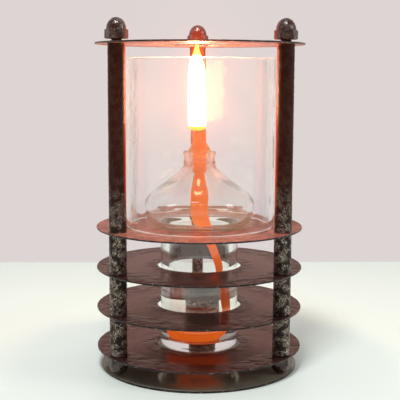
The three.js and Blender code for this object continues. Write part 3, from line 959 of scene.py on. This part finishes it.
def smoothPath(points, at):
    # centripetal Catmull-Rom, whose knots are the square roots of the distances between its points
    points = np.asarray(points, float)
    padded = np.concatenate([[2 * points[0] - points[1]], points, [2 * points[-1] - points[-2]]])
    i = np.minimum(np.floor(at).astype(int), len(points) - 2)
    t = (at - i)[:, None]
    p0, p1, p2, p3 = (padded[i + k] for k in range(4))
    pairs = ((p0, p1), (p1, p2), (p2, p3))
    d0, d1, d2 = (np.maximum(np.linalg.norm(b - a, axis=1, keepdims=True) ** 0.5, 1e-4) for a, b in pairs)
    m1 = ((p1 - p0) / d0 - (p2 - p0) / (d0 + d1) + (p2 - p1) / d1) * d1
    m2 = ((p2 - p1) / d1 - (p3 - p1) / (d1 + d2) + (p3 - p2) / d2) * d1
    a = 2 * p1 - 2 * p2 + m1 + m2
    b = -3 * p1 + 3 * p2 - 2 * m1 - m2
    return ((a * t + b) * t + m1) * t + p1


w = wickShape
squeezedWidth = holderBore - w["clearance"]
squeezedThickness = squeezedWidth * w["squeezedShare"]
runTop = holderBottom - w["halfWidth"]
coilHeight = bottom + v["floor"] + w["clearance"] * 2 + w["halfWidth"]
coilStart = np.radians(w["coilStart"])
bendRadius = w["coilRadius"] * coilStart
bendStart = coilHeight + bendRadius


def besideCoil(angle, radius, height):  # round the coil's own middle, a little left of the lamp's
    return turned(radius, height, angle) - np.array([w["coilOffset"], 0, 0])


def coilPoints(share):  # the angle and the radius both fall evenly with the share of turns
    return besideCoil(-coilStart - share * 2 * np.pi, w["coilRadius"] - share * w["coilStep"], coilHeight)


path = [(0, 0, holderTop + w["proud"]), (0, 0, lipTop), (0, 0, holderBottom)]
runShares = zip(w["right"], w["down"])
path += [(right * bore, 0, runTop - down * (runTop - bendStart)) for right, down in runShares]
bendShares = np.array([[0, 0], [1 - np.sqrt(0.5), np.sqrt(0.5)]])
bendHeights = bendStart - bendRadius * bendShares[:, 1]
path += list(besideCoil(-coilStart * bendShares[:, 0], w["coilRadius"], bendHeights))
path += list(coilPoints(np.array([0, 1 / w["stepsPerTurn"]])))
turns = np.array([0, 0, 0, *w["turn"], 1, 1, 1, 1], float)
at = np.linspace(0, len(path) - 2, w["runRows"], endpoint=False)
run = smoothPath(path, at)
coilRun = coilPoints(np.linspace(0, w["coilTurns"], w["coilRows"]))
centres = np.concatenate([run, coilRun])
angle = np.interp(at, np.arange(len(turns)), turns) * np.pi / 2
freed = easeStep(holderBottom - run[:, 2], 0, w["halfWidth"] * 2)
lying = easeStep(bendStart - run[:, 2], 0, bendStart - coilHeight)
flat = np.stack([np.cos(angle), np.sin(angle) * (1 - lying), -lying], axis=1)
flat = np.concatenate([flat, np.tile([0.0, 0.0, -1.0], (len(coilRun), 1))])


def freedTo(squeezed, full):  # from the squeezed measure in the holder to the full one below it
    return np.concatenate([squeezed + (full - squeezed) * freed, np.full(len(coilRun), full)])


halfWidth = freedTo(squeezedWidth, w["halfWidth"])
halfThickness = freedTo(squeezedThickness, w["halfThickness"])
along = unit(np.gradient(centres, axis=0))
wide = unit(flat - along * np.sum(flat * along, axis=1, keepdims=True))
thick = np.cross(along, wide)
length = np.concatenate([[0], np.cumsum(np.linalg.norm(np.diff(centres, axis=0), axis=1))])
around = np.arange(w["sides"]) / w["sides"]
# a woven tape: ribs |sin(along / pitch + half a turn a strand)| times |sin(strand)|, on a flattened round
strand = np.floor(around * wickValues["strandCount"])
rib = np.abs(np.sin(np.pi * (length[:, None] / wickValues["ribPitch"] + strand * 0.5)))
bead = np.abs(np.sin(np.pi * around * wickValues["strandCount"])) ** wickValues["strandPower"]
weave = w["weave"] * (rib * bead - 1)


def flattened(wave):  # a sine made squarer: its sign times |wave|^0.8
    return np.sign(wave) * np.abs(wave) ** w["squareness"]


across = flattened(np.cos(2 * np.pi * around))
through = flattened(np.sin(2 * np.pi * around))
wickRings = (
    centres[:, None]
    + wide[:, None] * (across * (halfWidth[:, None] + weave))[..., None]
    + thick[:, None] * (through * (halfThickness[:, None] + weave))[..., None]
    + np.array([0, 0, discTop])
)


def wickPiece(name, first, last, glow, charred=None):
    rings = wickRings[first:last]
    caps = [np.tile(rings[k].mean(axis=0), (1, w["sides"], 1)) for k in (0, -1)]
    rings = np.concatenate([caps[0], rings, caps[1]])
    lengths = length[first:last]
    lengths = np.concatenate([lengths[:1], lengths, lengths[-1:]])
    finish = wickFinish(name + "Braid", wickValues, glow, charred)
    return makePiece(name, rings, False, [finish], None, ["wick"], rowLength=lengths)


leaves = int(np.argmax(centres[:, 2] < holderBottom))
wickTop = discTop + holderTop + w["proud"]
charred = tuple(wickTop - below for below in wickValues["burntBelowTop"])
inHolder = wickPiece("wick_in_tube", 0, leaves + 1, wickValues["paintedGlowInTube"], charred)
inBottle = wickPiece("wick_in_oil", leaves, len(centres), wickValues["paintedGlowInOil"])
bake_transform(inHolder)
(discTop + bendStart) * millimetre
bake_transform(inBottle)
print("wick made")


# the oil lies a hair inside the glass, and climbs the glass and the wick by climb exp(-distance / reach)
oilValues = {"level": -41, "overlap": 0.06, "climb": 0.9, "reach": 1.4, "sides": 144}
filmValues = {"foot": 0.2, "underTop": 1.2, "edgeRound": 0.3, "sides": 72}
o = oilValues
oilSkin = np.concatenate([floor[1:][::-1], innerSkin[1:]])
oilSkin = oilSkin[oilSkin[:, 1] < o["level"] + o["climb"]]
oilSkin[:, 0] = np.where(oilSkin[:, 0] > 0.01, oilSkin[:, 0] + o["overlap"], 0)
oilSkin[:, 1] -= np.where(oilSkin[:, 1] < floorTop + v["footRound"], o["overlap"], 0)
top = oilSkin[-1, 0] * (1 - np.linspace(0, 1, 60)[1:] ** 0.8)
surface = np.c_[top, o["level"] + o["climb"] * np.exp(-(oilSkin[-1, 0] - top) / o["reach"])]
oilRings = revolved(np.concatenate([oilSkin, surface]), o["sides"], (0, 0, discTop))
atLevel = int(np.argmin(np.abs(centres[: w["runRows"], 2] - o["level"])))
fromWick = oilRings[..., :2] - centres[atLevel, :2]
fromWick = fromWick @ np.stack([wide[atLevel, :2], thick[atLevel, :2]], axis=1)
near = np.hypot(fromWick[..., 0] / w["halfWidth"], fromWick[..., 1] / w["halfThickness"])
gap = np.maximum(near - 1, 0) * w["halfThickness"] * 1.3
onTop = np.zeros(len(oilRings))
onTop[len(oilSkin):] = 1
oilRings[..., 2] += onTop[:, None] * o["climb"] * np.exp(-gap / o["reach"])
oilRings[-1] = oilRings[-1].mean(axis=0)
makePiece("lamp_oil", oilRings, False, [oilFinish], "bottle")
filmRadius = holderBore + o["overlap"]
filmLow, filmHigh = holderBottom + filmValues["foot"], holderTop - filmValues["underTop"]
soft = filmValues["edgeRound"]
filmOutline = softOutline(
    [(0, filmLow, 0, 2), (filmRadius, filmLow, soft, 2), (filmRadius, filmHigh, soft, 2), (0, filmHigh, 0, 1)]
)
filmRings = revolved(filmOutline, filmValues["sides"], (0, 0, discTop))
makePiece("oil_in_wick_tube", filmRings, False, [oilFinish], "wick_holder")
print("oil made")


flameValues = {
    "heights": (0, 0.4, 1.5, 4, 12, 24, 36, 43, 48, 52, 56, 61, 66.5),
    "radii": (0, 4.7, 5.7, 6.2, 6.4, 6.4, 6.3, 6.0, 5.4, 4.3, 2.8, 1.4, 0),
    "depthShare": 0.78, "onWick": 1.8, "footLean": -1.6, "lean": -0.8, "strength": 170, "sides": 64,
    "rows": 110,
    "stops": [
        (0.0, (0.009, 0.0022, 0.0002)),
        (0.06, (0.014, 0.0060, 0.0006)),
        (0.12, (1.0, 0.58, 0.32)),
        (0.74, (1.0, 0.58, 0.32)),
        (0.83, (0.026, 0.010, 0.002)),
        (1.0, (0.011, 0.0035, 0.0006)),
    ],
}
fl = flameValues


def flameFinish(name):
    # deep yellow at the foot and tip, and far brighter between them
    paint = Paint(name)
    height = paint.parts(paint.place())[2]
    inputs = {
        "Base Color": black,
        "Roughness": 1.0,
        "Specular IOR Level": 0.0,
        "Emission Color": paint.ramp((height - flameBottom) / fl["heights"][-1], fl["stops"]),
        "Emission Strength": fl["strength"],
    }
    return paint.painted(inputs)


# a teardrop of round rows with the widths above, evened out by a running mean, flattened and leaning a little
flameBottom = wickTop - fl["onWick"]
share = np.linspace(0, 1, fl["rows"])
radius = np.interp(share * fl["heights"][-1], fl["heights"], fl["radii"])
radius[2:-2] = np.convolve(radius, np.array([1, 3, 5, 3, 1]) / 13, "valid")
rings = revolved(np.c_[radius, flameBottom + share * fl["heights"][-1]], fl["sides"])
rings[..., 1] *= fl["depthShare"]
rings[..., 0] += (fl["footLean"] + fl["lean"] * np.sin(share * np.pi / 2))[:, None]
makePiece("flame", rings, False, [flameFinish("flameGlow")], "wick")
print("flame made")


tableValues = {
    "farEdge": 379, "nearEdge": -1500, "halfWidth": 1700, "thickness": 20, "tone": (0.84, 0.93, 0.88),
    "shade": (0.78, 0.89, 0.83), "roughness": 0.45,
}
s = tableValues


def tableFinish():
    paint = Paint("mintTable")
    cloud = paint.noise(paint.place(), 0.004, 3.0)
    tone = paint.ramp(cloud, [(0.3, s["shade"]), (0.7, s["tone"])])
    return paint.painted({"Base Color": tone, "Roughness": s["roughness"]})


near, far, side = s["nearEdge"], s["farEdge"], s["halfWidth"]
plan = ((-side, near), (side, near), (side, far), (-side, far))
corners = np.array([(x, y, z) for z in (-s["thickness"], 0) for x, y in plan], float)
tableFaces = [(3, 2, 1, 0), (4, 5, 6, 7), (0, 1, 5, 4), (1, 2, 6, 5), (2, 3, 7, 6), (3, 0, 4, 7)]
table = newObject("table", newMesh("table", corners, tableFaces))
table.data.materials.append(tableFinish())

roomValues = {"wall": (0.72, 0.665, 0.65), "behindCamera": (0.36, 0.325, 0.31), "turn": (-0.25, 0.45)}


def roomLight(values):  # a pale wall behind the lamp, easing to a dimmer room behind the camera
    paint = Paint("paleRoom", bpy.data.worlds.new("paleRoom"))
    forward = paint.parts(paint.add("TexCoord", output="Generated"))[1]
    tone = paint.mixed(paint.eased(forward, *values["turn"]), values["behindCamera"], values["wall"])
    glow = paint.add("Background", None, {"Color": tone, "Strength": 1.0})
    paint.add("OutputWorld", None, {"Surface": glow})
    return paint.material


scene.world = roomLight(roomValues)

lampValues = {
    "ceiling": {"place": (-150, -500, 1400), "size": 260, "watts": 13, "tone": (1, 1, 1)},
    "rightPanel": {"place": (1300, -500, 800), "size": 500, "watts": 5, "tone": (1, 0.99, 0.97)},
}
lampTarget = np.array([0, 0, 120])
for name, lamp in lampValues.items():
    data = bpy.data.lights.new(name, "AREA")
    data.shape, data.size = "SQUARE", lamp["size"] * millimetre
    data.energy, data.color = lamp["watts"], lamp["tone"]
    light = newObject(name, data)
    place = np.array(lamp["place"], float)
    light.location = place * millimetre
    light.rotation_mode = "QUATERNION"
    light.rotation_quaternion = Vector(place - lampTarget).to_track_quat("Z", "Y")

# a soft glow round the flame, as a lens gives it
bloomValues = {
    "Threshold": 1.0, "Strength": 0.28, "Tint": (1.0, 0.34, 0.22, 1), "Size": 0.55, "Clamp": True,
    "Maximum": 12,
}
scene.use_nodes = True
bloomTree = scene.node_tree
bloomTree.nodes.clear()
rendered = bloomTree.nodes.new("CompositorNodeRLayers")
bloom = bloomTree.nodes.new("CompositorNodeGlare")
shown = bloomTree.nodes.new("CompositorNodeComposite")
bloom.glare_type = "BLOOM"
for key, value in bloomValues.items():
    bloom.inputs[key].default_value = value
bloomTree.links.new(rendered.outputs["Image"], bloom.inputs["Image"])
bloomTree.links.new(bloom.outputs["Image"], shown.inputs["Image"])

scene.view_settings.view_transform = "Standard"
scene.cycles.caustics_reflective = False
scene.cycles.caustics_refractive = False
scene.cycles.max_bounces = 24
scene.cycles.transmission_bounces = 24
scene.cycles.transparent_max_bounces = 32
scene.cycles.glossy_bounces = 6
scene.cycles.diffuse_bounces = 3
print("room made")
